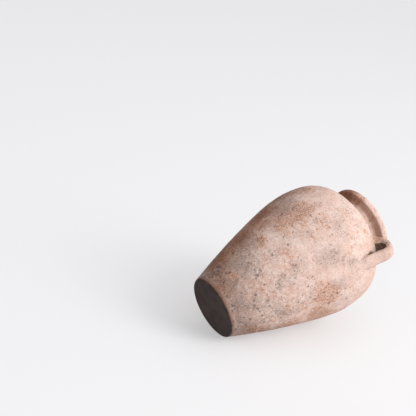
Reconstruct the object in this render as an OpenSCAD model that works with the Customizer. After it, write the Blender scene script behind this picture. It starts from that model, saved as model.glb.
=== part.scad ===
// Two-handled coil-and-wheel earthenware amphora, standing upright.
// +Z runs up the vessel's axis, the origin is the centre of its flat base,
// and the two handles stand on the X axis.
// The pot is thrown as separate sections that are luted together with slip,
// so every section, strap and wad of clay is a solid of its own.

/* [Vessel] */
// Total height, base to lip
total_h = 360; // [330:1:400]
// Largest diameter, at the belly
belly_d = 244.8; // [230:0.1:260]
// Height of the widest point above the base
belly_z = 232; // [222:1:242]
// Thickness of the thrown wall
wall = 8; // [7:0.5:9]

/* [Base] */
// Diameter of the flat face that the pot stands on
base_flat_d = 112; // [107:1:117]
// Thickness of the base slab
base_t = 12; // [10:1:14]
// Radius of the worn edge of the base
base_edge_r = 3.2; // [2:0.1:4]
// Angle at which the lower wall leaves the base, from vertical
foot_angle = 21; // [18:1:23]

/* [Neck and rim] */
// Distance from the lip down to the top of the shoulder
neck_drop = 30.5; // [30:0.5:32]
// Radius of the pot where the shoulder turns into the neck
neck_start_r = 64.5; // [62.5:0.5:66.5]
// Height of the neck's upright part
neck_upright = 4.5; // [3.5:0.5:5]
// Radius of the hollows above and below the neck's upright part
neck_hollow_r = 5; // [4:0.5:5.5]
// Outer diameter of the lip
lip_d = 150; // [145:0.5:156]
// Height of the lip band
lip_h = 13; // [10:0.5:15]
// Radius on the edges of the lip
lip_edge_r = 3; // [2:0.1:3.5]
// Radial width of the lip's top
lip_top_w = 11; // [9:0.5:12]

/* [Handles] */
// Width of the strap
strap_w = 25; // [22:0.5:28]
// Thickness of the strap
strap_t = 12.5; // [10:0.5:14]
// Distance from the pot's axis to the middle of the upright strap
handle_reach = 128.5; // [124:0.5:132]
// Distance from the lip down to the middle of the strap's top arm
handle_drop = 30.5; // [28:0.5:33]
// Bend radius of the strap, to the middle of its thickness
handle_bend_r = 21.5; // [18:0.5:25]
// Lean of the upright strap towards the shoulder, going down
handle_lean = 13.5; // [11:0.5:15]

/* [Wads of clay] */
// Half length of the tongue of clay below each handle
tongue_half_l = 36; // [32:1:40]
// Radius of the tongue at its middle
tongue_r = 13; // [12:0.5:15]
// How far the tongue stands out of the wall
tongue_proud = 5.5; // [4:0.5:7]
// Height of the middle of the tongue
tongue_z = 240; // [237:1:246]
// Height of the collar above the middle of the strap, at the neck
collar_rise = 13; // [11:0.5:15]
// Distance from the pot's axis to the thin end of the collar, on top of the strap
collar_reach = 84; // [80:1:88]
// Distance from the pot's axis to the end of the clay pressed in under the strap
web_reach = 97; // [92:0.5:98]
// How far the collar stands out from the strap's sides
collar_side = 1.5; // [1:0.25:2.5]

/* [Seams] */
// Height and width of the coil smoothed into the inner corner of the base
base_coil = 9; // [7:0.5:10]
// How far the coil inside the belly stands in from the wall
belly_coil_t = 3; // [2:0.5:4]

/* [Hidden] */
$fn = 96;

pale_clay = [0.85, 0.72, 0.65];
warm_clay = [0.80, 0.62, 0.52];
dark_clay = [0.24, 0.20, 0.19];
grey_clay = [0.66, 0.56, 0.51];

belly_r = belly_d / 2;
lip_r = lip_d / 2;
lip_z = total_h - lip_h;
neck_z = total_h - neck_drop;

// Curves of the wall: handles of the two Bezier stretches that meet at the belly
wall_steps = 10;
low_pull = 80;
low_crown = 40;
high_crown = 71;
high_pull = 38;
shoulder_angle = 30;

function unit(v) = v / norm(v);
function bezier(p, t) =
    pow(1 - t, 3) * p[0] + 3 * pow(1 - t, 2) * t * p[1]
    + 3 * (1 - t) * t * t * p[2] + t * t * t * p[3];
function bezier_way(p, t) = unit(
    pow(1 - t, 2) * (p[1] - p[0]) + 2 * (1 - t) * t * (p[2] - p[1])
    + t * t * (p[3] - p[2]));
// Point of the wall at t, moved in from the outer face by a depth
function wall_point(p, t, depth) =
    let (way = bezier_way(p, t)) bezier(p, t) + depth * [-way[1], way[0]];
function arc(centre, r, from, to, steps) = [
    for (i = [0 : steps])
        let (a = from + (to - from) * i / steps) centre + r * [cos(a), sin(a)]
];

// The worn edge of the base, and the cone of the slab's side above it
base_flat_r = base_flat_d / 2;
edge_end = [
    base_flat_r + base_edge_r * cos(foot_angle),
    base_edge_r - base_edge_r * sin(foot_angle)
];
slab_top = [edge_end[0] + (base_t - edge_end[1]) * tan(foot_angle), base_t];

low_curve = [
    slab_top,
    slab_top + low_pull * [sin(foot_angle), cos(foot_angle)],
    [belly_r, belly_z - low_crown],
    [belly_r, belly_z]
];
high_curve = [
    [belly_r, belly_z],
    [belly_r, belly_z + high_crown],
    [neck_start_r, neck_z] + high_pull * [cos(shoulder_angle), -sin(shoulder_angle)],
    [neck_start_r, neck_z]
];

function low_wall(depth) =
    [for (i = [0 : wall_steps]) wall_point(low_curve, i / wall_steps, depth)];
function high_wall(depth) =
    [for (i = [0 : wall_steps]) wall_point(high_curve, i / wall_steps, depth)];
// The inner face of the lower wall starts on top of the slab
low_inner_all = low_wall(wall);
low_inner_start = low_inner_all[0]
    + (base_t - low_inner_all[0][1]) * [tan(foot_angle), 1];
low_inner = [for (i = [0 : wall_steps]) i == 0 ? low_inner_start : low_inner_all[i]];
low_outer = low_wall(0);
high_outer = high_wall(0);
high_inner = high_wall(wall);

// The belly joint is a scarf: it slopes up from its outer edge to its inner one
scarf_t = 0.03;
scarf_inner = wall_point(high_curve, scarf_t, wall);

// The neck hollows in from the shoulder, stands upright and hollows out again,
// and the rim carries it on outwards
hollow_low = [neck_start_r, neck_z]
    + neck_hollow_r * [sin(shoulder_angle), cos(shoulder_angle)];
hollow_high = hollow_low + [0, neck_upright];
hollow_from = 270 - shoulder_angle;
neck_top_angle = 135;
rim_under_angle = 122;
throat_r = neck_hollow_r + wall;
throat_end = hollow_high + throat_r * [cos(neck_top_angle), sin(neck_top_angle)];

// The strap: its top arm, the centre of its bend, and its leg
arm_z = total_h - handle_drop;
bend_x = handle_reach - handle_bend_r;
bend_z = arm_z - handle_bend_r;

function corner(centre, from, to) = arc(centre, lip_edge_r, from, to, 4);

module turned(outline, facets = $fn) {
    rotate_extrude($fn = facets) polygon(outline);
}

// Everything inside the outer face of the pot, with no hollow in it
module solid_pot() {
    turned(concat(
        [[0, 0]],
        arc([base_flat_r, base_edge_r], base_edge_r, 270, 360 - foot_angle, 4),
        low_outer,
        [for (i = [1 : wall_steps]) high_outer[i]],
        arc(hollow_low, neck_hollow_r, hollow_from, 180, 6),
        arc(hollow_high, neck_hollow_r, 180, rim_under_angle, 6),
        rim_outside(),
        [[0, total_h]]
    ), 2 * $fn);
}

function rim_outside() = concat(
    corner([lip_r - lip_edge_r, lip_z + lip_edge_r], 290, 360),
    corner([lip_r - lip_edge_r, total_h - lip_edge_r], 0, 90)
);

module base_disc() {
    color(dark_clay)
        turned(concat(
            [[0, 0]],
            arc([base_flat_r, base_edge_r], base_edge_r, 270, 360 - foot_angle, 4),
            [slab_top, [0, base_t]]
        ));
}

module lower_wall() {
    color(grey_clay)
        turned(concat(
            low_outer,
            [scarf_inner],
            [for (i = [wall_steps : -1 : 0]) low_inner[i]]
        ));
}

module shoulder_wall() {
    color(pale_clay)
        turned(concat(
            high_outer,
            [for (i = [wall_steps : -1 : 1]) high_inner[i]],
            [scarf_inner]
        ));
}

module neck() {
    color(warm_clay)
        turned(concat(
            arc(hollow_low, neck_hollow_r, hollow_from, 180, 6),
            arc(hollow_high, neck_hollow_r, 180, neck_top_angle, 4),
            arc(hollow_high, throat_r, neck_top_angle, 180, 4),
            arc(hollow_low, throat_r, 180, hollow_from, 6)
        ));
}

module rim() {
    color(pale_clay)
        turned(concat(
            arc(hollow_high, neck_hollow_r, neck_top_angle, rim_under_angle, 2),
            rim_outside(),
            corner([lip_r - lip_top_w, total_h - lip_edge_r], 90, 150),
            [throat_end]
        ));
}

// Flat face and two half-round edges, the section of the strap
module strap_section() {
    square([strap_t, strap_w - strap_t], center = true);
    for (side = [-1, 1])
        translate([0, side * (strap_w - strap_t) / 2]) circle(d = strap_t);
}

// One strap on the +X side, running through the wall at both of its ends.
// The leg is a straight length of strap, slanted towards the shoulder.
module strap() {
    arm_root = neck_start_r - neck_hollow_r;
    leg_l = bend_z - belly_z;
    slant = [[1, 0, tan(handle_lean), 0], [0, 1, 0, 0], [0, 0, 1, 0]];
    translate([arm_root, 0, arm_z])
        rotate([0, 90, 0]) linear_extrude(bend_x - arm_root) strap_section();
    translate([bend_x, 0, bend_z]) {
        rotate([90, 0, 0])
            rotate_extrude(angle = 90)
                translate([handle_bend_r, 0]) strap_section();
        multmatrix(slant)
            translate([handle_bend_r, 0, -leg_l])
                linear_extrude(leg_l) strap_section();
    }
}

// The collar of clay worked round the strap where it meets the neck: it thins
// out along the top, and fills the wedge between the strap and the shoulder
module collar() {
    root = neck_start_r - neck_hollow_r / 2;
    half_t = strap_t / 2;
    width = strap_w + 2 * collar_side;
    deep = arm_z - 2 * half_t - collar_rise;
    outline = [
        [root, arm_z + collar_rise],
        [collar_reach, arm_z + half_t],
        [web_reach, arm_z - half_t],
        [collar_reach, deep],
        [root, deep]
    ];
    translate([0, width / 2, 0])
        rotate([90, 0, 0])
            linear_extrude(width) polygon(outline);
}

// The tongue of clay smeared down the shoulder from the strap's lower end:
// a spindle that lies along the wall and is mostly buried in it
module tongue() {
    t = (tongue_z - belly_z) / (3 * high_crown);
    at = bezier(high_curve, t);
    way = bezier_way(high_curve, t);
    lean = atan2(-way[0], way[1]);
    sink = tongue_r - tongue_proud;
    spindle_r = (pow(tongue_half_l, 2) + pow(tongue_r, 2)) / (2 * tongue_r);
    swing = asin(tongue_half_l / spindle_r);
    translate([at[0], 0, at[1]])
        rotate([0, -lean, 0])
            translate([-sink, 0, 0])
                turned(concat(
                    [[0, -tongue_half_l]],
                    [for (i = [-5 : 5])
                        let (a = swing * i / 6)
                            [tongue_r - spindle_r + spindle_r * cos(a), spindle_r * sin(a)]],
                    [[0, tongue_half_l]]
                ));
}

module handle(side) {
    color(pale_clay)
        rotate([0, 0, side])
            difference() {
                strap();
                solid_pot();
            }
}

module collar_wad(side) {
    color(warm_clay)
        rotate([0, 0, side])
            difference() {
                collar();
                solid_pot();
                strap();
            }
}

module tongue_wad(side) {
    color(grey_clay)
        rotate([0, 0, side])
            difference() {
                tongue();
                solid_pot();
                strap();
            }
}

// Coil smoothed into the corner between the slab and the lower wall
module base_seam_coil() {
    up = unit(low_inner[1] - low_inner[0]);
    top = low_inner[0] + base_coil * up;
    foot = low_inner[0] - [base_coil, 0];
    middle = low_inner[0] + base_coil * 0.3 * (up - [1, 0]);
    color(grey_clay)
        turned([low_inner[0], top, middle, foot]);
}

// Flattened coil pressed over the belly joint from the inside
module belly_seam_coil() {
    covered = [low_inner[wall_steps - 1], low_inner[wall_steps], scarf_inner, high_inner[1]];
    inwards = [-belly_coil_t, 0];
    color(grey_clay)
        turned(concat(
            covered,
            [for (i = [2 : -1 : 1]) covered[i] + inwards]
        ));
}

base_disc();
lower_wall();
shoulder_wall();
neck();
rim();
handle(0);  // handle_right
handle(180);  // handle_left
collar_wad(0);  // collar_right
collar_wad(180);  // collar_left
tongue_wad(0);  // tongue_right
tongue_wad(180);  // tongue_left
base_seam_coil();
belly_seam_coil();
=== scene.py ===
import math
from itertools import product
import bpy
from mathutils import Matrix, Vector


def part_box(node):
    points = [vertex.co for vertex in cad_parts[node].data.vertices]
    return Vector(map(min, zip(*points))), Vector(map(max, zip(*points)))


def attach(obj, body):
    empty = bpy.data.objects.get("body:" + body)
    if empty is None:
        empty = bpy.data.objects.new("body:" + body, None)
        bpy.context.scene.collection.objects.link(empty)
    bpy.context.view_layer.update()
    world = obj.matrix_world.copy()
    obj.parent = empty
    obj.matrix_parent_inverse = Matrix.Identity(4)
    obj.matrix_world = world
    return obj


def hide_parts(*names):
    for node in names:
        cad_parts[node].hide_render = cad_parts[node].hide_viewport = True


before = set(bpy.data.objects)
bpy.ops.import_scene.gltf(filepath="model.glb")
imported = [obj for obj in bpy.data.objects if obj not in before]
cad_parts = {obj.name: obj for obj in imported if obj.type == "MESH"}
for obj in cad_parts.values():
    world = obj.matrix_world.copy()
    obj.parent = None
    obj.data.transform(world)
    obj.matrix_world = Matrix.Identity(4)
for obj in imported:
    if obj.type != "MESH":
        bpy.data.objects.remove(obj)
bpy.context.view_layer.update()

from types import SimpleNamespace

import bpy
import numpy as np
from mathutils import Matrix, Vector
from mathutils.kdtree import KDTree

# The amphora lies on its side on a pale studio floor. The row frame stays the pot's own: +Z runs
# from its base to its mouth and the handles stand on the X axis, so it is the floor, the lights
# and the camera that are tilted. Lengths are in metres throughout.

MM = 0.001

# -------- driving sizes: from the frame, then the design's own that it doesn't show

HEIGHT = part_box("rim")[1][2]
LIP_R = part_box("rim")[1][0]
SLAB_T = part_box("base_disc")[1][2]
SLAB_TOP_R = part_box("base_disc")[1][0]
BELLY_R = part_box("lower_wall")[1][0]
BELLY_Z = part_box("shoulder_wall")[0][2]
NECK_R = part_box("neck")[1][0]
NECK_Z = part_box("shoulder_wall")[1][2]
STRAP_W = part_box("handle_right")[1][1] * 2

FOOT_ANGLE = math.radians(21)  # lean of the wall where it leaves the slab
BASE_EDGE_R = 3.2 * MM  # worn edge of the underside
WALL_T = 8 * MM
SHOULDER_ANGLE = math.radians(30)  # slope of the shoulder where the neck starts
FOOT_PULL = 80 * MM  # how far the ends of the wall's two curves hold their way:
BELLY_PULL_DOWN = 40 * MM  # up from the foot, down and up from the belly
BELLY_PULL_UP = 71 * MM
SHOULDER_PULL = 38 * MM  # and down from the neck
HOLLOW_R = 5 * MM  # hollows below and above the neck's upright part
NECK_UPRIGHT = 4.5 * MM
NECK_TOP = 135  # degrees round the upper hollow where the rim starts
FLARE_FROM = 122  # degrees round it where the rim's cone starts
LIP_BAND = 13 * MM
LIP_TOP_W = 11 * MM
STRAP_T = 12.5 * MM
BEND_R = 21.5 * MM
STRAP_LEAN = math.radians(13.5)
BASE_COIL_T = 4 * MM
BELLY_COIL_T = 2.5 * MM

# -------- mesh density

SEGMENTS = 420  # around the pot
STEP_OUT = 1.5 * MM  # along the outer wall
STEP_IN = 3.5 * MM  # along the inner wall
STEP_FLAT = 4 * MM  # over the underside and the floor
STEP_BEND = 1 * MM  # round the neck and the lip
STEP_EDGE = 0.8 * MM  # round the tightest edges

# -------- noise


def unit(vectors):
    return vectors / np.linalg.norm(vectors, axis=-1, keepdims=True)


def smooth_step(x):
    x = np.clip(x, 0, 1)
    return x * x * (3 - 2 * x)


LATTICE = 256  # cells after which the noise repeats


class Noise:
    """Smooth gradient noise on a unit lattice, the same on every run."""

    def __init__(self, seed):
        rng = np.random.default_rng(seed)
        self.order = rng.permutation(LATTICE)
        self.way = unit(rng.normal(size=(LATTICE, 3)))

    def __call__(self, points):
        cell = np.floor(points).astype(int)
        part = points - cell
        ease = part ** 3 * (part * (part * 6 - 15) + 10)
        total = np.zeros(len(points))
        for corner in product((0, 1), repeat=3):
            x, y, z = ((cell + corner) % LATTICE).T
            key = self.order[(self.order[(self.order[x] + y) % LATTICE] + z) % LATTICE]
            lean = (self.way[key] * (part - corner)).sum(axis=1)
            weight = np.where(corner, ease, 1 - ease).prod(axis=1)
            total += weight * lean
        return total


NOISES = [Noise(seed) for seed in range(6)]
OCTAVE_SHIFT = 7.3  # keeps the lattices of the octaves apart


def fractal(points, scale, octaves, which):
    """Noise of the given feature size in metres, with finer octaves on top."""
    total = np.zeros(len(points))
    for octave in range(octaves):
        total += NOISES[which](points * (2 ** octave / scale) + OCTAVE_SHIFT * octave) / 2 ** octave
    return total


# -------- the profile of the wall


def polar(centre, radius, angle):
    return np.array([centre[0] + radius * math.cos(angle), centre[1] + radius * math.sin(angle)])


def arc(centre, radius, start, end):
    turns = np.radians(np.linspace(start, end, 60))
    return np.stack([centre[0] + radius * np.cos(turns), centre[1] + radius * np.sin(turns)], axis=1)


def cubic(t, a, b, c, d):
    """Where t is on a Bezier curve with ends a and d, for points or for whole rings of them."""
    return (1 - t) ** 3 * a + 3 * (1 - t) ** 2 * t * b + 3 * (1 - t) * t ** 2 * c + t ** 3 * d


def bezier(points, count=200):
    t = np.linspace(0, 1, count)[:, None]
    return cubic(t, *[np.array(point, dtype=float) for point in points])


def outward(line):
    """The way out from each point of a line, to the right of the way that the line runs."""
    way = unit(np.gradient(line, axis=0))
    return np.stack([way[:, 1], -way[:, 0]], axis=1)


def inset(line, depth):
    """The line moved in by a depth, for a line that runs up the outside of the pot."""
    return line - depth * outward(line)


def even(line, step):
    """The same line with points a step apart."""
    run = np.concatenate([[0], np.cumsum(np.linalg.norm(np.diff(line, axis=0), axis=1))])
    count = max(2, int(round(run[-1] / step)) + 1)
    at = np.linspace(0, run[-1], count)
    return np.stack([np.interp(at, run, line[:, 0]), np.interp(at, run, line[:, 1])], axis=1)


def wall_curves():
    """The two stretches of the outer wall that meet at the belly."""
    foot = np.array([SLAB_TOP_R, SLAB_T])
    low = bezier([
        foot,
        foot + FOOT_PULL * np.array([math.sin(FOOT_ANGLE), math.cos(FOOT_ANGLE)]),
        (BELLY_R, BELLY_Z - BELLY_PULL_DOWN),
        (BELLY_R, BELLY_Z),
    ])
    top = np.array([NECK_R, NECK_Z])
    high = bezier([
        (BELLY_R, BELLY_Z),
        (BELLY_R, BELLY_Z + BELLY_PULL_UP),
        top + SHOULDER_PULL * np.array([math.cos(SHOULDER_ANGLE), -math.sin(SHOULDER_ANGLE)]),
        top,
    ])
    return low, high


def worn_edge():
    """Radius of the flat underside, and the rounded edge beside it."""
    slab_r = SLAB_TOP_R - SLAB_T * math.tan(FOOT_ANGLE)
    flat_r = slab_r - BASE_EDGE_R * (1 / math.cos(FOOT_ANGLE) - math.tan(FOOT_ANGLE))
    edge = arc((flat_r, BASE_EDGE_R), BASE_EDGE_R, 270, 360 - math.degrees(FOOT_ANGLE))
    return flat_r, edge


def lip_curves(flare_end, mouth_end):
    """The lip's underside from the end of the flare, its face, and its top into the mouth."""
    lip_z = HEIGHT - LIP_BAND
    low_edge = np.array([LIP_R - 0.2 * MM, lip_z + 1.6 * MM])
    brow = np.array([LIP_R - 3.2 * MM, HEIGHT - 0.4 * MM])
    under = bezier([
        flare_end,
        flare_end + np.array([6.8, 4.2]) * MM,
        (LIP_R - 0.6 * MM, lip_z - 0.1 * MM),
        low_edge,
    ])
    face = bezier([
        low_edge,
        low_edge + np.array([0.7, 2.6]) * MM,
        (LIP_R + 0.4 * MM, HEIGHT - 2.4 * MM),
        brow,
    ])
    top = bezier([
        brow,
        (LIP_R - 7 * MM, HEIGHT + 0.4 * MM),
        (LIP_R - LIP_TOP_W - 1 * MM, HEIGHT - 2 * MM),
        mouth_end,
    ])
    return under, face, top


def inner_low_curve(low):
    """The inside of the lower wall, down to where its foot meets the floor."""
    line = inset(low, WALL_T)
    line = line[line[:, 1] > SLAB_T]
    floor_r = line[0][0] - (line[0][1] - SLAB_T) * math.tan(FOOT_ANGLE)
    return np.vstack([[floor_r, SLAB_T], line])


def profile():
    """Named stretches of the pot's section, in order from the middle of the underside, up the
    outside, over the lip and down the inside to the middle of the floor."""
    low, high = wall_curves()
    flat_r, edge = worn_edge()
    slant = math.degrees(SHOULDER_ANGLE)
    hollow_low = np.array([NECK_R + HOLLOW_R * math.sin(SHOULDER_ANGLE),
                           NECK_Z + HOLLOW_R * math.cos(SHOULDER_ANGLE)])
    hollow = hollow_low + np.array([0, NECK_UPRIGHT])
    throat_r = HOLLOW_R + WALL_T
    flare_end = polar(hollow, HOLLOW_R, math.radians(FLARE_FROM))
    mouth_end = polar(hollow, throat_r, math.radians(NECK_TOP))
    lip_under, lip_face, lip_top = lip_curves(flare_end, mouth_end)
    inner_low = inner_low_curve(low)
    return {
        "underside": even(np.array([[0, 0], [flat_r, 0]]), STEP_FLAT),
        "edge": even(edge, STEP_EDGE),
        "slab_side": even(np.array([edge[-1], [SLAB_TOP_R, SLAB_T]]), STEP_OUT),
        "low": even(low, STEP_OUT),
        "high": even(high, STEP_OUT),
        "hollow": even(np.vstack([arc(hollow_low, HOLLOW_R, 270 - slant, 180),
                                  arc(hollow, HOLLOW_R, 180, NECK_TOP)]), STEP_BEND),
        "flare": even(np.vstack([arc(hollow, HOLLOW_R, NECK_TOP, FLARE_FROM), lip_under[1:]]),
                      STEP_BEND),
        "lip": even(lip_face, STEP_EDGE),
        "mouth": even(lip_top, STEP_BEND),
        "throat": even(np.vstack([arc(hollow, throat_r, NECK_TOP, 180),
                                  arc(hollow_low, throat_r, 180, 270 - slant)]), STEP_OUT),
        "inner_high": even(inset(high, WALL_T)[::-1], STEP_IN),
        "inner_low": even(inner_low[::-1], STEP_IN),
        "floor": even(np.array([inner_low[0], [0, SLAB_T]]), STEP_FLAT),
    }


# -------- the skin: every displaced row


def rows_of(stretches):
    """All the points of the profile in one list, with the first and last row of each stretch."""
    points, spans = [], {}
    for name, line in stretches.items():
        start = len(points) - 1 if points else 0
        points.extend(line if not points else line[1:])
        spans[name] = (start, len(points) - 1)
    return np.array(points), spans


def spin(points):
    """Every profile row turned round the axis: an array of rows, segments and coordinates."""
    turn = np.linspace(0, 2 * math.pi, SEGMENTS, endpoint=False)
    r = points[:, 0][:, None]
    return np.stack([r * np.cos(turn), r * np.sin(turn),
                     np.repeat(points[:, 1][:, None], SEGMENTS, axis=1)], axis=2)


# Relief of the clay: the size of each feature and its height.
SWELLS = (90 * MM, 0.9 * MM)
DENTS = (26 * MM, 0.5 * MM)
GRAINS = (5 * MM, 0.22 * MM)
THROWN_RINGS = (8.5 * MM, 0.07 * MM)
RING_DRIFT = (120 * MM, 5 * MM)
FINGER_RINGS = (13 * MM, 0.6 * MM)


def relief(xyz, fine=1.0):
    """Height of the handmade surface above the nominal one, at points in the row frame."""
    slow = fractal(xyz, SWELLS[0], 2, 0) * SWELLS[1]
    dents = fractal(xyz, DENTS[0], 3, 1) * DENTS[1]
    grain = fractal(xyz, GRAINS[0], 2, 2) * GRAINS[1]
    lap = xyz[:, 2] + fractal(xyz, RING_DRIFT[0], 1, 3) * RING_DRIFT[1]
    rings = np.sin(lap * 2 * math.pi / THROWN_RINGS[0]) * THROWN_RINGS[1]
    return slow + dents + fine * (grain + rings)


def finger_rings(xyz):
    """Spiral finger marks that throwing leaves inside."""
    turn = np.arctan2(xyz[:, 1], xyz[:, 0]) / (2 * math.pi)
    lap = xyz[:, 2] / FINGER_RINGS[0] + turn
    swell = 0.7 + 0.5 * fractal(xyz, 60 * MM, 1, 4)
    return np.sin(lap * 2 * math.pi) * FINGER_RINGS[1] * swell


CALM_SOLE = 0.12  # share of the relief that the underside takes,
CALM_LIP = 0.45  # the lip
CALM_FLOOR = 0.5  # and the floor inside
CALM_ROWS = 8  # rows over which the underside's calm fades
LIP_LEAD = 6  # rows before the lip where its calm starts


def calmness(count, spans):
    """Share of the relief that each row of the skin takes."""
    calm = np.ones(count)
    sole_end = spans["underside"][1]
    calm[: sole_end + 1] = CALM_SOLE
    calm[sole_end: sole_end + CALM_ROWS] = np.linspace(CALM_SOLE, 1, CALM_ROWS)
    calm[spans["lip"][0] - LIP_LEAD: spans["mouth"][1]] = CALM_LIP
    calm[spans["floor"][0]:] = CALM_FLOOR
    return calm


def build_skin():
    """The profile, its spans, every row turned and roughened, and the way out of each point."""
    points, spans = rows_of(profile())
    count = len(points)
    flat = spin(points)
    push = spin(outward(points))
    row = np.arange(count)
    inside = smooth_step((row - spans["mouth"][0]) / (spans["mouth"][1] - spans["mouth"][0]))
    xyz = flat.reshape(-1, 3)
    height = relief(xyz) * np.repeat(calmness(count, spans), SEGMENTS)
    thrown = inside * (row < spans["floor"][0])
    height += finger_rings(xyz) * np.repeat(thrown, SEGMENTS)
    height = height.reshape(count, SEGMENTS)
    height[0] = height[0].mean()
    height[-1] = height[-1].mean()
    return points, spans, flat + push * height[:, :, None], push


PROFILE, SPANS, SKIN, PUSH = build_skin()


# -------- pits


def outer_length():
    """Distance along the outside of the pot from the worn base edge, for every profile row."""
    steps = np.linalg.norm(np.diff(PROFILE, axis=0), axis=1)
    run = np.concatenate([[0], np.cumsum(steps)])
    return run - run[SPANS["edge"][0]]


RUN = outer_length()

PIT_SEED = 11
PIT_TRIES = 5200  # places tried, of which the likelier ones get a pit
PIT_DEEPEST = 0.75 * MM
PIT_DRIFTS = 55 * MM  # size of the drifts that pits lie in
PIT_LOW = 170 * MM  # below this height they grow more likely


def press_pit(depth, rows, row, col, size, deep):
    """Marks one round pit in the map of depths, where 1 is the deepest that a pit can be. It
    stays between the two rows given."""
    reach = int(math.ceil(size / STEP_OUT)) + 1
    pitch = 2 * math.pi * PROFILE[row, 0] / SEGMENTS
    side = int(math.ceil(size / pitch)) + 1
    near_rows = np.arange(max(rows[0], row - reach), min(rows[1], row + reach) + 1)
    near_cols = np.arange(col - side, col + side + 1) % SEGMENTS
    patch = np.ix_(near_rows, near_cols)
    gap = np.linalg.norm(SKIN[patch] - SKIN[row, col], axis=2) / size
    bowl = 1 - smooth_step(gap)
    depth[patch] = np.maximum(depth[patch], bowl * deep / PIT_DEEPEST)


def carve_pits():
    """Presses small pits into the outer wall, most of them low down and in drifts, and returns
    how deep in a pit each point is."""
    rng = np.random.default_rng(PIT_SEED)
    depth = np.zeros(SKIN.shape[:2])
    first, last = SPANS["slab_side"][0], SPANS["flare"][0]
    rows = rng.integers(first, last, PIT_TRIES)
    cols = rng.integers(0, SEGMENTS, PIT_TRIES)
    spot = SKIN[rows, cols]
    crowd = fractal(spot, PIT_DRIFTS, 2, 5) * 1.6
    low = 1 - smooth_step(spot[:, 2] / PIT_LOW)
    chance = np.clip(0.10 + 0.55 * crowd + 0.35 * low, 0.02, 1) * PROFILE[rows, 0] / BELLY_R
    keep = rng.random(PIT_TRIES) < chance
    sizes = rng.gamma(3.0, 0.36, PIT_TRIES) * MM + 0.7 * MM
    deeps = rng.uniform(0.25, PIT_DEEPEST / MM, PIT_TRIES) * MM
    for row, col, size, deep in zip(rows[keep], cols[keep], sizes[keep], deeps[keep]):
        press_pit(depth, (first, last), row, col, size, deep)
    SKIN[:] -= PUSH * (depth * PIT_DEEPEST)[:, :, None]
    return depth


PIT = carve_pits()


# -------- meshes

SHARP_ANGLE = math.radians(50)


def add_object(name, data):
    thing = bpy.data.objects.new(name, data)
    bpy.context.scene.collection.objects.link(thing)
    return thing


def new_mesh(name, points, faces, pit=None, crevice_shade=None):
    """A smooth piece that carries how pitted each of its points is, and how much painted crevice
    shade it takes.
    """
    mesh = bpy.data.meshes.new(name)
    mesh.from_pydata(points.tolist(), [], faces)
    mesh.validate()
    mesh.update()
    mesh.polygons.foreach_set("use_smooth", [True] * len(mesh.polygons))
    mesh.set_sharp_from_angle(angle=SHARP_ANGLE)
    for key, given in (("pit", pit), ("crevice_shade", crevice_shade)):
        values = np.zeros(len(points)) if given is None else given
        mark = mesh.attributes.new(key, "FLOAT", "POINT")
        mark.data.foreach_set("value", values.astype(np.float32))
    return add_object(name, mesh)


def near_share(points, others, reach):
    """How close points are to a cloud of other points: 1 touching, 0 beyond the reach."""
    tree = KDTree(len(others))
    for k, other in enumerate(others):
        tree.insert(other, k)
    tree.balance()
    gaps = np.array([tree.find(point)[2] for point in points])
    return 1 - smooth_step(gaps / reach)


def grid_faces(rows, cols, closed_rows):
    """Quads over a grid whose columns close on themselves, and whose rows may too."""
    faces = []
    for i in range(rows if closed_rows else rows - 1):
        j = (i + 1) % rows
        for k in range(cols):
            m = (k + 1) % cols
            faces.append((i * cols + k, i * cols + m, j * cols + m, j * cols + k))
    return faces


def capped_faces(rows, cols):
    """Quads over a tube, and a fan over each end round the two points that follow the grid's."""
    faces = grid_faces(rows, cols, closed_rows=False)
    start, end = rows * cols, rows * cols + 1
    last = (rows - 1) * cols
    for k in range(cols):
        m = (k + 1) % cols
        faces.append((start, m, k))
        faces.append((end, last + k, last + m))
    return faces


def turned_piece(name, rows, pits):
    """A closed ring of clay from rows of the skin that go once round its section."""
    grid = np.array(rows)
    count, cols = grid.shape[:2]
    faces = grid_faces(count, cols, closed_rows=True)
    points = grid.reshape(-1, 3)
    return new_mesh(name, points, faces, np.array(pits).reshape(-1), shade_beside_straps(points))


def bridge(start, end, count=3):
    """Plain rows between two rows, without the two themselves."""
    shares = np.linspace(0, 1, count + 2)[1:-1]
    return [start * (1 - s) + end * s for s in shares]


def section_piece(name, outer, inner):
    """The part of the wall between rows outer[0]..outer[1] outside and inner[0]..inner[1] inside.
    Both spans are given in the profile's order, so the inside is run from top to bottom."""
    out_rows = list(SKIN[outer[0]: outer[1] + 1])
    in_rows = list(SKIN[inner[0]: inner[1] + 1])
    top = bridge(out_rows[-1], in_rows[0])
    foot = bridge(in_rows[-1], out_rows[0])
    rows = out_rows + top + in_rows + foot
    blank = [np.zeros(SEGMENTS)]
    pits = list(PIT[outer[0]: outer[1] + 1]) + blank * len(top) + list(PIT[inner[0]: inner[1] + 1])
    return turned_piece(name, rows, pits + blank * len(foot))


def row_near(span, height):
    """Row of a stretch that lies nearest to a height."""
    first, last = SPANS[span]
    return first + int(np.argmin(abs(PROFILE[first: last + 1, 1] - height)))


def base_piece():
    """The slab: underside, worn edge, side, and the floor of the pot."""
    side_top = SPANS["slab_side"][1]
    floor_first, floor_last = SPANS["floor"]
    rows = list(SKIN[1: side_top + 1])
    joint = bridge(SKIN[side_top], SKIN[floor_first])
    rows += joint + list(SKIN[floor_first: floor_last])
    pits = list(PIT[1: side_top + 1]) + [np.zeros(SEGMENTS)] * len(joint)
    pits += list(PIT[floor_first: floor_last])
    points = np.vstack([np.array(rows).reshape(-1, 3), SKIN[0, :1], SKIN[-1, :1]])
    values = np.concatenate([np.array(pits).reshape(-1), [0, 0]])
    return new_mesh("base_disc_clay", points, capped_faces(len(rows), SEGMENTS), values)


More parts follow.
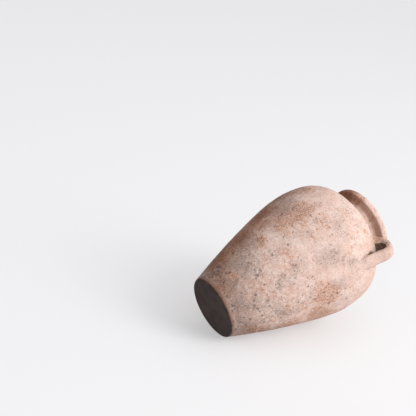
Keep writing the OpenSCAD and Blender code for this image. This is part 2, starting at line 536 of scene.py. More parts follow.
def coil_piece(name, first, last, thickness):
    """A coil smoothed over rows first..last of the inside."""
    rows = list(SKIN[first: last + 1])
    span = len(rows)
    crown = []
    for k in range(span - 2, 0, -1):
        swell = math.sin(math.pi * k / (span - 1)) ** 0.7 * thickness
        crown.append(SKIN[first + k] + PUSH[first + k] * swell)
    return turned_piece(name, rows + crown, np.zeros((span + len(crown), SEGMENTS)))


# -------- handles


def row_at(run):
    """Row of the profile, with its fraction, at a distance along the outside."""
    last = SPANS["mouth"][0]
    return np.interp(run, RUN[: last + 1], np.arange(last + 1))


def radius_at(run):
    """Radius of the profile at a distance along the outside."""
    last = SPANS["mouth"][0]
    return np.interp(run, RUN[:last], PROFILE[:last, 0])


def skin_point(run, turn):
    """Point of the outer skin at a distance along the profile and an azimuth, both arrays."""
    at = row_at(run)
    lap = (turn / (2 * math.pi) * SEGMENTS) % SEGMENTS
    r0 = np.clip(np.floor(at).astype(int), 0, SPANS["mouth"][0] - 1)
    c0 = np.floor(lap).astype(int)
    fr = (at - r0)[:, None]
    fc = (lap - c0)[:, None]
    c0 = c0 % SEGMENTS
    c1 = (c0 + 1) % SEGMENTS
    low = SKIN[r0, c0] * (1 - fc) + SKIN[r0, c1] * fc
    high = SKIN[r0 + 1, c0] * (1 - fc) + SKIN[r0 + 1, c1] * fc
    return low * (1 - fr) + high * fr


def radial(turn):
    """The level way out from the pot's axis at an azimuth."""
    return np.array([math.cos(turn), math.sin(turn), 0])


AROUND = 72  # points round the strap
RING = np.linspace(0, 2 * math.pi, AROUND, endpoint=False)
RING_OUT = np.cos(RING)  # 1 on the strap's outer side, -1 on its inner side
RING_SIDE = np.sin(RING)  # 1 and -1 at its two edges
STRAP_POWER = 0.78  # 1 makes the strap's section an oval, 0 a box
STRAP_STEP = 1.5 * MM  # between the strap's rings
ARM_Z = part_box("handle_right")[1][2] - STRAP_T / 2  # middle line of the strap: its level arm
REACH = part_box("handle_right")[1][0] - STRAP_T / 2  # and how far out it comes
ROOT_X = NECK_R + 37 * MM  # where the strap starts to swell into the collar
FOOT_DROP = 42 * MM  # where its leg sinks into the wall, below the bend's centre
COLLAR_UP = 8 * MM  # reach of the collar from the foot of the neck: up the neck,
COLLAR_DOWN = 40 * MM  # down the shoulder and
COLLAR_SIDE = 17 * MM  # to each side
COLLAR_SUNK = 0.5 * MM  # how deep its rim lies in the wall
COLLAR_ROWS = 24
TONGUE_L = 72 * MM  # length of the clay smeared down from the strap
TONGUE_ROWS = 46
CREVICE_SHADE_REACH = 11 * MM  # the painted shade beside a strap, at its widest
CREVICE_SHADE_FROM = 0.72 * HEIGHT  # no point of the wall below this height is beside a strap
CREVICE_SHADE_FADE = 34 * MM  # height over which it narrows to nothing at the strap's foot


def strap_path():
    """Middle line of the strap from collar to foot, in its own upright plane."""
    bend = np.array([REACH - BEND_R, ARM_Z - BEND_R])
    arm = np.array([[ROOT_X, ARM_Z - 0.6 * MM], [bend[0], ARM_Z]])
    turn = arc(bend, BEND_R, 90, -math.degrees(STRAP_LEAN))
    foot = np.array([turn[-1][0] - FOOT_DROP * math.tan(STRAP_LEAN), turn[-1][1] - FOOT_DROP])
    line = np.vstack([arm, turn[1:], foot])
    soft = even(line, STRAP_STEP)
    for _ in range(30):
        soft[1:-1] = (soft[:-2] + soft[1:-1] * 2 + soft[2:]) / 4
    return even(soft, STRAP_STEP)


def strap_section():
    """Offsets through and across the strap, a soft flat oval."""
    through = np.sign(RING_OUT) * abs(RING_OUT) ** STRAP_POWER * STRAP_T / 2
    across = np.sign(RING_SIDE) * abs(RING_SIDE) ** STRAP_POWER * STRAP_W / 2
    return through, across


def strap_rows(turn0):
    """Sections of the strap, each a ring of points, and the way it runs at its lower end."""
    path = strap_path()
    out = -outward(path)
    way = unit(np.gradient(path, axis=0))
    through, across = strap_section()
    away = radial(turn0)
    aside = radial(turn0 + math.pi / 2)
    up = np.array([0, 0, 1])
    rows = []
    for k in range(len(path)):
        share = k / (len(path) - 1)
        width = 1 + 0.05 * math.cos(share * 2 * math.pi) - 0.03 * share
        middle = path[k][0] * away + path[k][1] * up
        normal = out[k][0] * away + out[k][1] * up
        rows.append(middle + through[:, None] * normal + (across * width)[:, None] * aside)
    return np.array(rows), way[-1][0] * away + way[-1][1] * up


def collar_rows(ring, turn0):
    """Rows that carry the strap's first ring into the neck above and the shoulder below."""
    start = RUN[SPANS["hollow"][0]]
    fall = -COLLAR_DOWN * abs(RING_OUT) ** 0.5
    run = start + np.where(RING_OUT > 0, COLLAR_UP * RING_OUT, fall)
    side = COLLAR_SIDE * np.sign(RING_SIDE) * abs(RING_SIDE) ** 0.7
    landing = skin_point(run, turn0 + side / radius_at(run))
    landing -= unit(landing * np.array([1, 1, 0])) * COLLAR_SUNK
    inward = -radial(turn0) * np.where(RING_OUT < 0, 1 - 0.7 * RING_OUT ** 2, 1)[:, None]
    middle = skin_point(np.array([start]), np.array([turn0]))[0]
    gap = np.linalg.norm(landing - ring, axis=1)[:, None]
    leave = ring + inward * gap * 0.55
    arrive = landing - unit(landing - middle) * gap * 0.35
    return [cubic(t, ring, leave, arrive, landing) for t in np.linspace(0, 1, COLLAR_ROWS)]


def wall_frame(run, turn):
    """Points of the skin, and the way out of it, at runs along one azimuth."""
    at = row_at(run)
    slope = outward(PROFILE)
    nr = np.interp(at, np.arange(len(slope)), slope[:, 0])
    nz = np.interp(at, np.arange(len(slope)), slope[:, 1])
    out = np.stack([nr * np.cos(turn), nr * np.sin(turn), nz], axis=1)
    return skin_point(run, turn), out


def tongue_row(ring, way, turn0, start, t):
    """The ring at t, from 0 where the strap ends to 1 where the ridge has faded away."""
    fade = (1 - t) ** 1.5
    width = 1 + 0.25 * math.sin(math.pi * min(1, 1.4 * t)) - 0.62 * smooth_step(1.5 * t - 0.5)
    bell = smooth_step(2.2 * t)
    side = strap_section()[1] * (1 - bell) + 1.3 * RING_SIDE * bell * STRAP_W / 2
    oval = abs(RING_OUT) ** STRAP_POWER * STRAP_T / 2
    mound = (0.5 + 0.5 * np.cos(math.pi * RING_SIDE)) * STRAP_T / 2
    rise = (oval * (1 - bell) + mound * bell) * (fade + 0.02)
    deep = -abs(RING_OUT) * (STRAP_T / 2 * fade + 1.5 * MM) - 0.4 * MM * t
    run = np.full(AROUND, start - TONGUE_L * t)
    skin, out = wall_frame(run, turn0 + side * width / radius_at(run))
    ridge = skin + out * np.where(RING_OUT > 0, rise, deep)[:, None]
    straight = ring + way * TONGUE_L * t
    join = smooth_step(3.2 * t)
    return straight * (1 - join) + ridge * join


def tongue_rows(ring, way, turn0):
    """Rows that carry the strap's last ring down the wall as a ridge that fades away."""
    start = RUN[row_near("high", ring[:, 2].mean())]
    return [tongue_row(ring, way, turn0, start, t) for t in np.linspace(0, 1, TONGUE_ROWS)]


def closed_tube(name, rows, crevice_shade=None):
    """A tube of rings, closed at both ends by fans round the middles of its end rings."""
    if crevice_shade is not None:
        crevice_shade = np.concatenate([crevice_shade, [0, 0]])
    ends = [rows[0].mean(axis=0), rows[-1].mean(axis=0)]
    points = np.vstack([np.array(rows).reshape(-1, 3), ends])
    return new_mesh(name, points, capped_faces(len(rows), AROUND), crevice_shade=crevice_shade)


def roughen(rows):
    """Adds the handmade relief to rings, along the way out from each ring's middle."""
    done = []
    for ring in rows:
        away = unit(ring - ring.mean(axis=0))
        bumps = relief(ring, fine=0.8)
        done.append(ring + away * (bumps - bumps.mean() * 0.6)[:, None])
    return done


def build_straps():
    """For each side: the strap's rows of points, the way out of its lower end, its azimuth."""
    straps = {}
    for side_name, turn0 in (("right", 0.0), ("left", math.pi)):
        rings, way = strap_rows(turn0)
        straps[side_name] = (roughen(rings), way, turn0)
    return straps


STRAPS = build_straps()


def narrowed(near, height, foot):
    """The painted shade in a crevice, narrowing from its widest in the eye down to nothing at the
    foot.
    """
    fade = smooth_step((height - foot) / CREVICE_SHADE_FADE)
    return smooth_step(near + 1.25 * fade - 1)


def shade_beside_straps(points):
    """Painted shade on the wall in the crevice beside each strap, fading out towards its foot."""
    share = np.zeros(len(points))
    for strap, _, turn0 in STRAPS.values():
        beside = (points @ radial(turn0) > 0) & (abs(points[:, 1]) < STRAP_W)
        close = np.flatnonzero(beside & (points[:, 2] > CREVICE_SHADE_FROM))
        if len(close):
            near = near_share(points[close], np.array(strap).reshape(-1, 3), CREVICE_SHADE_REACH)
            share[close] += narrowed(near, points[close, 2], strap[-1][:, 2].mean())
    return share


def inner_side():
    """1 along the middle of the side of a strap's ring that faces the pot, 0 at its edges."""
    return smooth_step((-RING_OUT - 0.8) / 0.18)


def shade_on_strap(rows, turn0):
    """The same painted shade on the strap's own side of the crevice, and inside its bend."""
    first, last = SPANS["high"]
    column = int(round(turn0 / (2 * math.pi) * SEGMENTS))
    reach = SEGMENTS // 17
    beside = np.arange(column - reach, column + reach + 1) % SEGMENTS
    wall = SKIN[first:last][:, beside].reshape(-1, 3)
    points = np.array(rows).reshape(-1, 3)
    near = near_share(points, wall, CREVICE_SHADE_REACH * 0.6)
    near = np.maximum(near, np.outer(np.full(len(rows), 0.95), inner_side()).reshape(-1))
    return narrowed(near, points[:, 2], rows[-1][:, 2].mean())


def shade_on_collar():
    """Painted shade on the underside of the arm where it turns into the collar, foot row first."""
    close = smooth_step(np.linspace(0.3, 2.2, COLLAR_ROWS))
    return np.outer(close, inner_side()).reshape(-1) * 0.9


def handle_pieces(side_name):
    """The strap, collar and tongue of one handle, each with the node that it stands for."""
    strap, way, turn0 = STRAPS[side_name]
    collar = collar_rows(strap[0], turn0)[::-1]
    tongue = tongue_rows(strap[-1], way, turn0)
    return [
        (closed_tube("strap_" + side_name, strap, shade_on_strap(strap, turn0)),
         "handle_" + side_name),
        (closed_tube("collar_" + side_name + "_clay", collar, shade_on_collar()),
         "collar_" + side_name),
        (closed_tube("tongue_" + side_name + "_clay", tongue), "tongue_" + side_name),
    ]


# -------- material graph helpers


class Graph:
    """Short calls for building the nodes of a new material or world."""

    def __init__(self, owner):
        self.owner = owner
        owner.use_nodes = True
        self.tree = owner.node_tree
        self.tree.nodes.clear()

    def make(self, kind, inputs, **settings):
        """Adds a node and returns its outputs. Its inputs, by name or number, get the values or
        the links given."""
        node = self.tree.nodes.new(kind)
        for key, value in settings.items():
            setattr(node, key, value)
        for key, value in inputs.items():
            if isinstance(value, bpy.types.NodeSocket):
                self.tree.links.new(value, node.inputs[key])
            elif value is not None:
                node.inputs[key].default_value = value
        return node.outputs

    def math(self, operation, a, b=0.0, c=0.0):
        return self.make("ShaderNodeMath", {0: a, 1: b, 2: c}, operation=operation)[0]

    def times(self, a, b):
        return self.math("MULTIPLY", a, b)

    def times_add(self, a, b, c):
        """a times b, plus c."""
        return self.math("MULTIPLY_ADD", a, b, c)

    def between(self, value, low, high, start=0.0, end=1.0):
        """Smoothly maps value from low..high to start..end."""
        inputs = {0: value, 1: low, 2: high, 3: start, 4: end}
        return self.make("ShaderNodeMapRange", inputs, interpolation_type="SMOOTHSTEP")[0]

    def mix(self, share, a, b, blend="MIX"):
        """The colour a with a share of b laid over it."""
        inputs = {0: share, 6: a, 7: b}
        return self.make("ShaderNodeMix", inputs, data_type="RGBA", blend_type=blend)[2]

    def vector(self, operation, a, b=None, scale=None):
        inputs = {0: a, 1: b, 3: scale}
        outputs = self.make("ShaderNodeVectorMath", inputs, operation=operation)
        return outputs["Value" if operation in ("DISTANCE", "DOT_PRODUCT") else "Vector"]

    def noise(self, where, size, detail, rough, out="Fac"):
        """Noise whose features measure about size metres."""
        inputs = {"Vector": where, "Scale": 1 / size, "Detail": detail, "Roughness": rough}
        return self.make("ShaderNodeTexNoise", inputs)[out]

    def finish(self, surface, output="ShaderNodeOutputMaterial"):
        self.make(output, {"Surface": surface})
        return self.owner


def srgb(red, green, blue):
    """An 8-bit screen colour as the linear colour that the shader takes."""
    def linear(value):
        value /= 255
        return value / 12.92 if value <= 0.04045 else ((value + 0.055) / 1.055) ** 2.4
    return (linear(red), linear(green), linear(blue), 1.0)


# -------- marks of age, and patches of painted shade

# Each mark is azimuth from the right handle in degrees, height in mm, radius in mm, strength.
# The strongest rust marks, at azimuth -110 to -124, paint shade on that side of the pot as well as
# rust.
RUST_AND_SHADE = [
    (-72, 200, 46, 0.85), (-74, 170, 40, 0.8), (-103, 138, 44, 0.9), (-101, 85, 38, 0.8),
    (-75, 118, 22, 0.7), (-44, 139, 24, 0.5), (12, 176, 40, 1.0), (41, 168, 44, 1.0),
    (48, 110, 40, 0.8), (-60, 40, 22, 0.6), (20, 130, 30, 0.4), (123, 210, 45, 0.9),
    (153, 120, 44, 0.8), (-147, 190, 46, 0.8), (98, 80, 34, 0.7), (183, 250, 40, 0.7),
    (-30, 250, 26, 0.35), (73, 235, 40, 0.7), (-52, 225, 30, 0.5), (-112, 60, 40, 0.8),
    (-112, 170, 44, 0.9), (-118, 215, 44, 0.8), (58, 200, 44, 0.8), (52, 55, 34, 0.7),
    (-88, 60, 24, 0.5), (-48, 185, 22, 0.4), (-10, 330, 20, 0.5), (-95, 255, 40, 0.6),
    (-116, 110, 40, 1.4), (-110, 35, 30, 1.4), (-122, 160, 44, 1.4), (60, 150, 40, 0.8),
    (-118, 60, 40, 1.4), (-124, 210, 44, 1.2), (-100, 345, 34, 1.2), (-72, 345, 24, 0.8),
    (-8, 314, 20, 1.1), (-22, 292, 18, 0.6),
]
# The smoke marks at azimuth -4 to -13, from 218 to 258 mm, paint the shade below the strap's foot,
# and the two strongest, low at -100 and -112, paint shade by the foot.
SMOKE_AND_SHADE = [
    (-88, 193, 34, 0.9), (-61, 66, 34, 0.55), (-23, 196, 40, 0.7), (-30, 141, 30, 0.5),
    (-85, 30, 34, 0.9), (-37, 238, 40, 0.5), (5, 204, 24, 0.7), (-5, 62, 38, 0.35),
    (36, 25, 30, 0.8), (-95, 100, 40, 0.8), (88, 180, 44, 0.8), (143, 60, 44, 0.9),
    (-137, 110, 44, 0.8), (173, 180, 40, 0.7), (-162, 280, 34, 0.6), (113, 280, 34, 0.6),
    (-20, 105, 30, 0.3), (-50, 180, 26, 0.5), (-112, 200, 46, 0.8), (-110, 270, 40, 0.6),
    (-74, 100, 30, 0.45), (-108, 30, 40, 0.9), (-20, 25, 30, 0.8), (10, 20, 30, 0.7),
    (-50, 22, 26, 0.7), (15, 90, 30, 0.6), (-80, 150, 26, 0.5), (-10, 238, 16, 0.9),
    (-4, 258, 20, 0.6), (-4, 242, 22, 0.6), (-13, 218, 16, 0.8), (-100, 20, 26, 1.2),
    (-112, 50, 30, 1.2),
]
# Most stains, from azimuth -100 to -128, paint shade on that side of the pot in a dark rust colour;
# the others are stains of the clay.
STAIN_AND_SHADE = [
    (-101, 50, 44, 1.0), (-103, 100, 50, 1.0), (-106, 160, 54, 1.0), (-108, 225, 48, 0.8),
    (-128, 80, 50, 1.0), (-128, 180, 50, 1.0), (-100, 345, 40, 0.9), (-54, 6, 30, 0.8),
    (-84, 24, 34, 0.6), (40, 38, 30, 0.7), (70, 24, 34, 0.9), (70, 90, 34, 0.6),
    (150, 250, 40, 0.5),
]


def mark_centre(azimuth, height):
    """The point of the wall at an azimuth in degrees and a height in millimetres."""
    turn = math.radians(azimuth)
    first, last = SPANS["slab_side"][0], SPANS["flare"][1]
    radius = float(np.interp(height * MM, PROFILE[first:last, 1], PROFILE[first:last, 0]))
    return (radius * math.cos(turn), radius * math.sin(turn), height * MM)


def marks(g, where, table):
    """How strongly the marks of a table show at a point, fading out softly from each centre."""
    total = 0.0
    for azimuth, height, radius, strength in table:
        gap = g.vector("DISTANCE", where, mark_centre(azimuth, height))
        total = g.math("MAXIMUM", total, g.between(gap, 0.0, 1.25 * radius * MM, strength, 0.0))
    return total


# -------- materials

PALE = srgb(212, 188, 178)
PINK = srgb(202, 174, 162)
TAUPE = srgb(142, 122, 112)
RUSTY = srgb(190, 138, 108)
# the colour of deep rust, and of painted shade in the stains, the rust and under the lip
DARK_RUST_AND_SHADE = srgb(134, 88, 63)
# also the colour of the painted shade in some smoke patches
SMOKY_AND_SHADE = srgb(118, 102, 94)
SPECK = srgb(72, 56, 48)
SLATE = srgb(78, 72, 73)
CREAM = srgb(228, 208, 197)
# painted shade for the crevices beside the straps and the eyes of the handles
CREVICE_SHADE = srgb(84, 58, 45)
CHARCOAL = srgb(50, 40, 37)
UMBER = srgb(100, 66, 46)
ASH = srgb(66, 53, 48)


def finish_clay(g, colour, height, roughness, strength):
    """A matt material of the colour, with bumps of up to half a millimetre."""
    bumps = {"Strength": strength, "Distance": 0.5 * MM, "Height": height}
    return g.finish(g.make("ShaderNodeBsdfPrincipled", {
        "Base Color": colour,
        "Roughness": roughness,
        "Specular IOR Level": 0.25,
        "Normal": g.make("ShaderNodeBump", bumps)["Normal"],
    })[0])


def jitter(g, where, size, reach):
    """The point moved about by noise, so that what is drawn there gets ragged edges."""
    drift = g.vector("SUBTRACT", g.noise(where, size, 3, 0.6, out="Color"), (0.5, 0.5, 0.5))
    return g.vector("ADD", where, g.vector("SCALE", drift, scale=reach))


def flecks(g, where, size, low, high, crowd):
    """Round flecks, one to a cell of the given size. Each has a size of its own between
    low and high parts of a cell, and only shows where crowd is above its random number."""
    spots = g.make("ShaderNodeTexVoronoi", {"Vector": where, "Scale": 1 / size})
    lot = g.make("ShaderNodeSeparateColor", {0: spots["Color"]})
    radius = g.between(lot[1], 0.0, 1.0, low, high)
    shown = g.math("LESS_THAN", lot[0], crowd)
    edge = g.math("SUBTRACT", radius, spots["Distance"])
    return g.times(g.between(edge, -0.06, 0.08), shown)


def patches(g, zone, mottle, grain):
    """A zone broken up by mottling and grain, from 0 to 1."""
    cover = g.times_add(zone, 0.6, g.times(mottle, 1.1))
    broken = g.between(cover, 0.66, 0.98)
    dusted = g.between(grain, 0.42, 0.58, 0.25, 1.0)
    return g.times(g.times(broken, dusted), g.between(zone, 0.0, 0.35))


def clay_textures(g):
    """What the layers of weathering and of painted shade share: the point and its height, noises,
    marks, flecks.
    """
    here = g.make("ShaderNodeTexCoord", {})["Object"]
    up = g.make("ShaderNodeSeparateXYZ", {0: here})["Z"]
    warped = jitter(g, jitter(g, here, 34 * MM, 46 * MM), 9 * MM, 14 * MM)
    t = SimpleNamespace(
        here=here, up=up, warped=warped,
        low=g.between(up, 15 * MM, 190 * MM, 1.0, 0.0),
        broad=g.noise(here, 60 * MM, 3, 0.6),
        blotch=g.noise(here, 18 * MM, 6, 0.72),
        mottle=g.noise(here, 6.5 * MM, 5, 0.75),
        grain=g.noise(here, 2.4 * MM, 4, 0.75),
        dust=g.noise(here, 0.9 * MM, 2, 0.6),
        rust_and_shade_zone=marks(g, warped, RUST_AND_SHADE),
        smoke_and_shade_zone=marks(g, warped, SMOKE_AND_SHADE),
    )
    t.shade = g.between(g.times_add(t.dust, 0.5, t.grain), 0.55, 0.95, 0.8, 1.12)
    t.sole = g.between(g.times_add(t.mottle, 3 * MM, up), 1.8 * MM, 4.5 * MM, 1.0, 0.0)
    t.crowd = crowding(g, t)
    ragged = jitter(g, here, 1.6 * MM, 2.6 * MM)
    shown = g.times(t.crowd, 0.6)
    t.small = flecks(g, ragged, 2.8 * MM, 0.12, 0.4, shown)
    t.large = flecks(g, ragged, 7.5 * MM, 0.08, 0.3, shown)
    tint = g.math("ADD", g.noise(here, 14 * MM, 1, 0.5), g.times(t.low, 0.12))
    t.dark = g.mix(g.between(tint, 0.46, 0.62), SPECK, SLATE)
    return t


def crowding(g, t):
    """How thick the specks are: in drifts, near the foot, and where the rust and smoke marks lie,
    some of which are painted shade.
    """
    drift = g.between(g.noise(t.here, 26 * MM, 3, 0.6), 0.42, 0.68, 0.0, 0.5)
    crowd = g.times_add(t.low, 0.25, drift)
    return g.times_add(g.math("MAXIMUM", t.smoke_and_shade_zone, t.rust_and_shade_zone), 0.3, crowd)


def ground(g, t):
    """The bare clay: pink and pale blotches, worn taupe most of all near the foot."""
    colour = g.mix(g.between(t.blotch, 0.38, 0.6), PINK, PALE)
    worn = g.times_add(t.mottle, 0.8, g.times(t.broad, 0.5))
    worn = g.times_add(t.low, 0.3, worn)
    colour = g.mix(g.between(worn, 0.64, 0.98, 0, 0.66), colour, TAUPE)
    glow = g.between(g.noise(t.here, 42 * MM, 5, 0.7), 0.42, 0.66, 0, 0.4)
    glow = g.times(glow, g.between(t.mottle, 0.42, 0.58, 0.2, 1.0))
    return g.mix(glow, colour, RUSTY)


def rusted_and_shaded(g, t, colour):
    # Rust patches, and deep rust where they are thickest; some of the patches are painted shade.
    rust_and_shade = patches(g, t.rust_and_shade_zone, t.mottle, t.grain)
    colour = g.mix(g.times(rust_and_shade, 0.8), colour, RUSTY)
    deep = g.between(g.times_add(rust_and_shade, 0.45, t.grain), 0.8, 0.95, 0, 0.65)
    return g.mix(deep, colour, DARK_RUST_AND_SHADE)


def smoked_and_shaded(g, t, colour):
    """Granular smoke in its patches, some of which are painted shade, and a thin hem of it round the
    foot.
    """
    soot = g.between(g.noise(t.here, 1.7 * MM, 3, 0.75), 0.42, 0.56, 0.2, 1.0)
    smoke_and_shade = patches(g, t.smoke_and_shade_zone, g.noise(t.here, 9 * MM, 6, 0.8), t.grain)
    smoke_and_shade = g.times(smoke_and_shade, soot)
    colour = g.mix(g.times(smoke_and_shade, 0.9), colour, SMOKY_AND_SHADE)
    hem = g.times_add(t.blotch, 60 * MM, t.up)
    hem = g.between(hem, 36 * MM, 84 * MM, 1.0, 0.0)
    hem = g.times(hem, g.between(t.mottle, 0.42, 0.56, 0.35, 1.0))
    return g.mix(g.times(hem, 0.42), colour, SMOKY_AND_SHADE)


def stained_and_shaded(g, t, colour):
    # Broad dark rust, mottled; most of it is painted shade.
    stain_and_shade = g.times(marks(g, t.warped, STAIN_AND_SHADE), g.between(t.mottle, 0.3, 0.6, 0.6, 1.0))
    return g.mix(stain_and_shade, colour, DARK_RUST_AND_SHADE)


def specked(g, t, colour):
    """Fine grit, flecks of two sizes, and torn slates near the foot."""
    grit = g.times_add(t.crowd, 0.16, g.noise(t.here, 3.4 * MM, 3, 0.8))
    colour = g.mix(g.times(g.between(grit, 0.6, 0.7), 0.44), colour, SPECK)
    colour = g.mix(g.times(t.small, 0.42), colour, t.dark)
    colour = g.mix(g.times(t.large, 0.6), colour, t.dark)
    torn = jitter(g, t.here, 3 * MM, 6 * MM)
    slates = flecks(g, torn, 9 * MM, 0.1, 0.34, g.between(t.low, 0.6, 0.95, 0.0, 0.85))
    slates = g.times(slates, g.between(t.grain, 0.4, 0.55, 0.35, 0.8))
    return g.mix(slates, colour, t.dark)


def pits_and_crevice_shade(g, t, colour):
    """Dark in the pits, and painted shade in the crevices and eyes of the handles, where the mesh
    says they are.
    """
    pit = g.make("ShaderNodeAttribute", {}, attribute_name="pit")["Fac"]
    colour = g.mix(g.between(pit, 0.15, 0.75, 0, 0.68), colour, t.dark)
    # painted shade in the crevices and eyes of the handles
    crevice_shade = g.make("ShaderNodeAttribute", {}, attribute_name="crevice_shade")["Fac"]
    ragged = g.between(t.mottle, 0.3, 0.55, 0.6, 0.95)
    return g.mix(g.times(g.between(crevice_shade, 0.0, 0.7), ragged), colour, CREVICE_SHADE)


def chalked(g, t, colour):
    """Chalky flecks, then the light and dark of the grain over everything so far."""
    chalk = flecks(g, jitter(g, t.here, 2 * MM, 2 * MM), 3.4 * MM, 0.12, 0.4, 0.34)
    colour = g.mix(g.times(chalk, 0.18), colour, CREAM)
    return g.mix(1.0, colour, t.shade, blend="MULTIPLY")


def rust_and_shade_under_lip(g, t, colour):
    """Thin rust from the neck up, thicker on the flare, and none on the lip itself: partly the
    clay's own rust, partly painted shade over the neck and under the lip's overhang.
    """
    up = g.times_add(t.mottle, 5 * MM, t.up)
    neck = g.between(up, HEIGHT - 29 * MM, HEIGHT - 24 * MM, 0, 0.2)
    flare = g.between(up, HEIGHT - 19 * MM, HEIGHT - 15 * MM)
    below = g.between(up, HEIGHT - 11 * MM, HEIGHT - 9.5 * MM, 1, 0)
    share = g.times(g.times_add(flare, 0.3, neck), below)
    return g.mix(share, colour, DARK_RUST_AND_SHADE)


def soled(g, t, colour):
    """A brown line round the foot, and the underside black with smoke."""
    edge = g.times_add(t.mottle, 9 * MM, t.up)
    colour = g.mix(g.between(edge, 5 * MM, 13 * MM, 0.85, 0.0), colour, UMBER)
    black = g.mix(g.between(g.noise(t.here, 30 * MM, 4, 0.6), 0.35, 0.65), CHARCOAL, ASH)
    return g.mix(t.sole, colour, g.mix(1.0, black, t.shade, blend="MULTIPLY"))


def clay_bump(g, t):
    """Height of the grain, with the flecks sunk in and the underside rubbed smooth."""
    bump = g.times_add(t.dust, 0.35, g.times(t.grain, 0.8))
    bump = g.times_add(t.mottle, 0.7, bump)
    sunk = g.times(g.math("MAXIMUM", t.small, t.large), 0.3)
    bump = g.math("SUBTRACT", bump, sunk)
    return g.times(bump, g.between(t.sole, 0.0, 1.0, 1.0, 0.3))


LAYERS = (rusted_and_shaded, smoked_and_shaded, stained_and_shaded, specked, pits_and_crevice_shade, chalked, rust_and_shade_under_lip, soled)


def weathered_clay(name):
    """Unglazed pinkish clay, mottled, rusty and smoky in patches, specked and pitted, with painted
    shade in the handles' crevices, under the lip and in some of the patches.
    """
    g = Graph(bpy.data.materials.new(name))
    t = clay_textures(g)
    colour = ground(g, t)
    for layer in LAYERS:
        colour = layer(g, t, colour)
    roughness = g.between(t.grain, 0.3, 0.7, 0.82, 0.96)
    return finish_clay(g, colour, clay_bump(g, t), roughness, 0.6)


def inner_clay():
    """The inside, the same clay, dustier and never weathered."""
    g = Graph(bpy.data.materials.new("inner_clay"))
    here = g.make("ShaderNodeTexCoord", {})["Object"]
    blotch = g.noise(here, 22 * MM, 5, 0.65)
    grain = g.noise(here, 1.6 * MM, 3, 0.7)
    colour = g.mix(g.between(blotch, 0.35, 0.65), PINK, TAUPE)
    shade = g.between(grain, 0.3, 0.7, 0.85, 1.1)
    colour = g.mix(1.0, colour, shade, blend="MULTIPLY")
    return finish_clay(g, colour, grain, 0.92, 0.4)


# -------- putting the pot together


def dress(piece, node, material):
    piece.data.materials.append(material)
    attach(piece, "root")
    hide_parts(node)


def make_pot():
    body = weathered_clay("body_clay")
    base = weathered_clay("smoked_clay")  # the same recipe: soled() blackens it by its height
    inner = inner_clay()
    belly_in = row_near("inner_high", BELLY_Z + 6 * MM)
    sections = [
        ("lower_wall", SPANS["low"], (belly_in, SPANS["inner_low"][1])),
        ("shoulder_wall", SPANS["high"], (SPANS["inner_high"][0], belly_in)),
        ("neck", SPANS["hollow"], SPANS["throat"]),
        ("rim", (SPANS["flare"][0], SPANS["lip"][1]), SPANS["mouth"]),
    ]
    for node, outer, inside in sections:
        dress(section_piece(node + "_clay", outer, inside), node, body)
    dress(base_piece(), "base_disc", base)

    corner = SPANS["floor"][0]
    dress(coil_piece("base_seam_coil_clay", corner - 3, corner + 3, BASE_COIL_T),
          "base_seam_coil", inner)
    dress(coil_piece("belly_seam_coil_clay", belly_in - 4, belly_in + 5, BELLY_COIL_T),
          "belly_seam_coil", inner)
    for side_name in STRAPS:
        for piece, node in handle_pieces(side_name):
            dress(piece, node, body)


make_pot()

# -------- camera, floor and lights

VIEW_AZIMUTH = math.radians(62.28)  # where the camera looks from, round the pot's axis
VIEW_ELEVATION = math.radians(-23.69)
VIEW_ROLL = math.radians(62.72)
VIEW_AIM = Vector((-0.1080, -0.1291, 0.0994))
VIEW_DISTANCE = 1.8457
LENS = 85  # in millimetres, and so is the sensor's width
SENSOR = 36
FLOOR_ELEVATION = math.radians(20)  # how far the camera looks down on the floor,
FLOOR_ROLL = math.radians(7.5)  # and how far the floor leans, to meet the foot of the pot
FLOOR_GAP = 0.4 * MM  # room for the relief between the wall and the floor
FLOOR_HALF = 7.0
FLOOR_COLOUR = (0.43, 0.428, 0.434, 1)
FLOOR_GLOW = 0.39
KEY_PLACE = (3.0, 1.7, 2.25)  # metres right, near and up of the pot, as the camera sees it
KEY_SIZE = 2.4
KEY_POWER = 114
SKY_WAY = (0.8, 0.4, 0.46)  # the brightest side of the studio, in the same three parts
SKY_DIM = 0.26  # its strength on the other side
SKY_BRIGHT = 1.5
SKY_FOCUS = 1.7  # higher makes the bright side narrower


def camera_axes():
    """Right, up and back of the camera, in the pot's frame."""
    a, e = VIEW_AZIMUTH, VIEW_ELEVATION
    back = Vector((math.sin(a) * math.cos(e), -math.cos(a) * math.cos(e), math.sin(e)))
    level = Vector((math.cos(a), math.sin(a), 0))
    turn = Matrix.Rotation(VIEW_ROLL, 3, back)
    right = turn @ level
    return right, back.cross(right), back


def make_camera():
    right, up, back = camera_axes()
    data = bpy.data.cameras.new("camera")
    data.lens = LENS
    data.sensor_width = SENSOR
    data.clip_end = 100
    camera = add_object("camera", data)
    turned = Matrix((right, up, back)).transposed().to_4x4()
    camera.matrix_world = Matrix.Translation(VIEW_AIM + back * VIEW_DISTANCE) @ turned
    bpy.context.scene.camera = camera


def studio_axes():
    """The floor's own frame: right as seen, towards the camera, and straight up from it."""
    right, up, back = camera_axes()
    level = up * math.cos(FLOOR_ELEVATION) + back * math.sin(FLOOR_ELEVATION)
    normal = (level * math.cos(FLOOR_ROLL) + right * math.sin(FLOOR_ROLL)).normalized()
    side = (right - normal * right.dot(normal)).normalized()
    return side, side.cross(normal), normal


def floor_point():
    """The point of the wall that lies lowest, where the floor meets the pot."""
    normal = studio_axes()[2]
    across = math.hypot(normal.x, normal.y)
    reach = PROFILE[:, 0] * across - PROFILE[:, 1] * normal.z
    k = int(np.argmax(reach))
    out = PROFILE[k, 0] / across
    return Vector((-normal.x * out, -normal.y * out, PROFILE[k, 1])) - normal * FLOOR_GAP


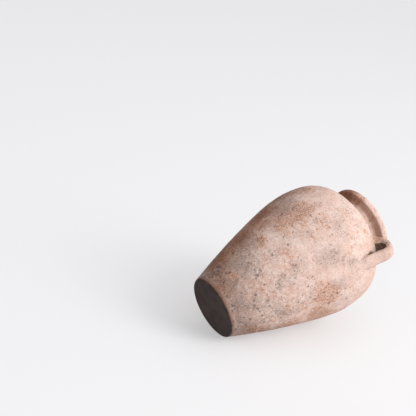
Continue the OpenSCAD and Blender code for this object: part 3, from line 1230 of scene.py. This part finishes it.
def floor_material():
    """Matt white, softly lit from inside so that shadows stay pale, and clear from below."""
    g = Graph(bpy.data.materials.new("studio_floor"))
    white = g.make("ShaderNodeBsdfPrincipled", {
        "Base Color": FLOOR_COLOUR,
        "Emission Color": (1.0, 0.99, 1.0, 1),
        "Emission Strength": FLOOR_GLOW,
        "Roughness": 0.9,
        "Specular IOR Level": 0.1,
    })[0]
    below = g.make("ShaderNodeNewGeometry", {})["Backfacing"]
    clear = g.make("ShaderNodeBsdfTransparent", {})[0]
    return g.finish(g.make("ShaderNodeMixShader", {0: below, 1: white, 2: clear})[0])


def make_floor():
    side, near, normal = studio_axes()
    spot = floor_point()
    corners = []
    for i, j in ((-1, 1), (1, 1), (1, -1), (-1, -1)):
        corners.append(tuple(spot + side * FLOOR_HALF * i + near * FLOOR_HALF * j))
    mesh = bpy.data.meshes.new("floor")
    mesh.from_pydata(corners, [], [(0, 1, 2, 3)])
    mesh.update()
    if mesh.polygons[0].normal.dot(normal) < 0:
        mesh.flip_normals()
    mesh.materials.append(floor_material())
    floor = add_object("floor", mesh)


def studio_vector(parts):
    """A vector in the row frame from its parts right, near and up, as seen in the studio."""
    side, near, normal = studio_axes()
    return side * parts[0] + near * parts[1] + normal * parts[2]


def make_key():
    """A broad, slightly warm softbox in front of the pot, on its mouth's side."""
    target = Vector((0, 0, HEIGHT / 2))
    place = target + studio_vector(KEY_PLACE)
    data = bpy.data.lights.new("key", "AREA")
    data.shape = "SQUARE"
    data.size = KEY_SIZE
    data.energy = KEY_POWER
    data.color = (1.0, 0.985, 0.965)
    light = add_object("key", data)
    light.location = place
    light.rotation_euler = (target - place).to_track_quat("-Z", "Y").to_euler()


def make_sky():
    """The studio's walls and ceiling: pale everywhere, brightest on the key's side."""
    g = Graph(bpy.data.worlds.new("studio"))
    way = g.make("ShaderNodeTexCoord", {})["Generated"]
    lean = g.vector("DOT_PRODUCT", way, studio_vector(SKY_WAY).normalized())
    share = g.math("POWER", g.times_add(lean, 0.5, 0.5), SKY_FOCUS)
    strength = g.times_add(share, SKY_BRIGHT - SKY_DIM, SKY_DIM)
    sky = {"Color": (0.985, 0.985, 1.0, 1), "Strength": strength}
    surface = g.make("ShaderNodeBackground", sky)[0]
    bpy.context.scene.world = g.finish(surface, "ShaderNodeOutputWorld")
    bpy.context.scene.view_settings.view_transform = "Standard"


make_camera()
make_floor()
make_key()
make_sky()
